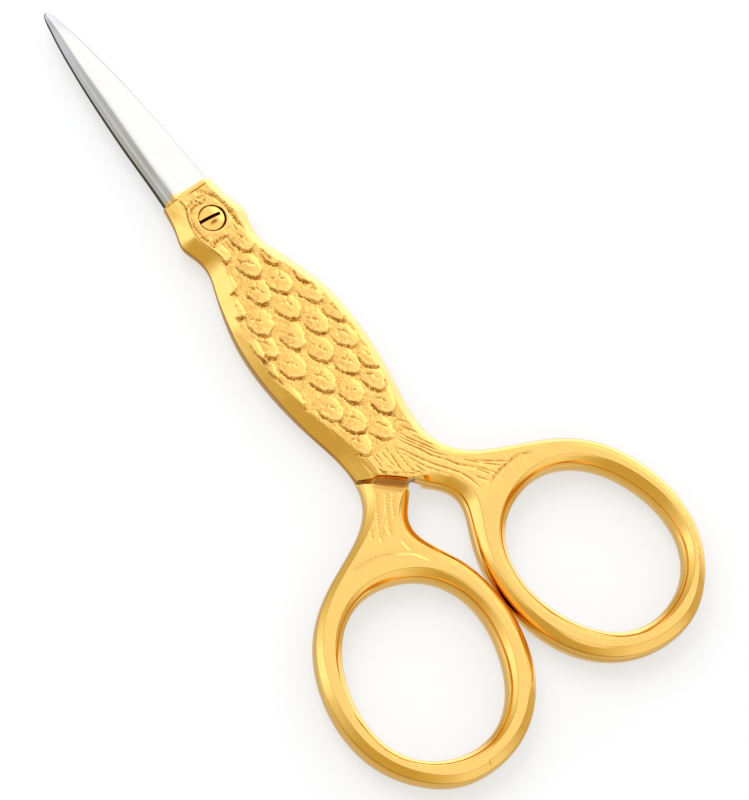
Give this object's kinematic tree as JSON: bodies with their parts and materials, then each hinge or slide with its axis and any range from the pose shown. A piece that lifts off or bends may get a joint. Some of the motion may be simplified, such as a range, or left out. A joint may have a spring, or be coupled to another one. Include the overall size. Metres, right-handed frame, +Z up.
{
  "type": "embroidery scissors",
  "caption": "Small gilt needlework scissors with a feathered body, straight pointed blades, a slotted pivot screw and two oval finger bows.",
  "frame": {"origin": "on the resting plane, below the middle of the closed scissors' length and width", "axes": "+Z up from the resting plane and along the pivot axis, +Y from the finger bows to the blade tips, +X towards the front half's finger bow"},
  "size_m": [0.049, 0.1016, 0.0046],
  "materials": {
    "gilt": "polished gold plating, satin in the ground of the relief",
    "blade_steel": "mirror polished",
    "screw_gilt": "polished gold plating"
  },
  "bodies": {
    "rear_half": {"rear_blade": "blade_steel", "rear_handle": "gilt", "pivot_screw": "screw_gilt"},
    "front_half": {"front_blade": "blade_steel", "front_handle": "gilt"}
  },
  "joints": [
    {"name": "pivot", "type": "hinge", "parent": "rear_half", "child": "front_half", "pos_m": [0, 0.01905, 0.0023], "axis": [0, 0, 1], "range_deg": [0, 60]}
  ]
}
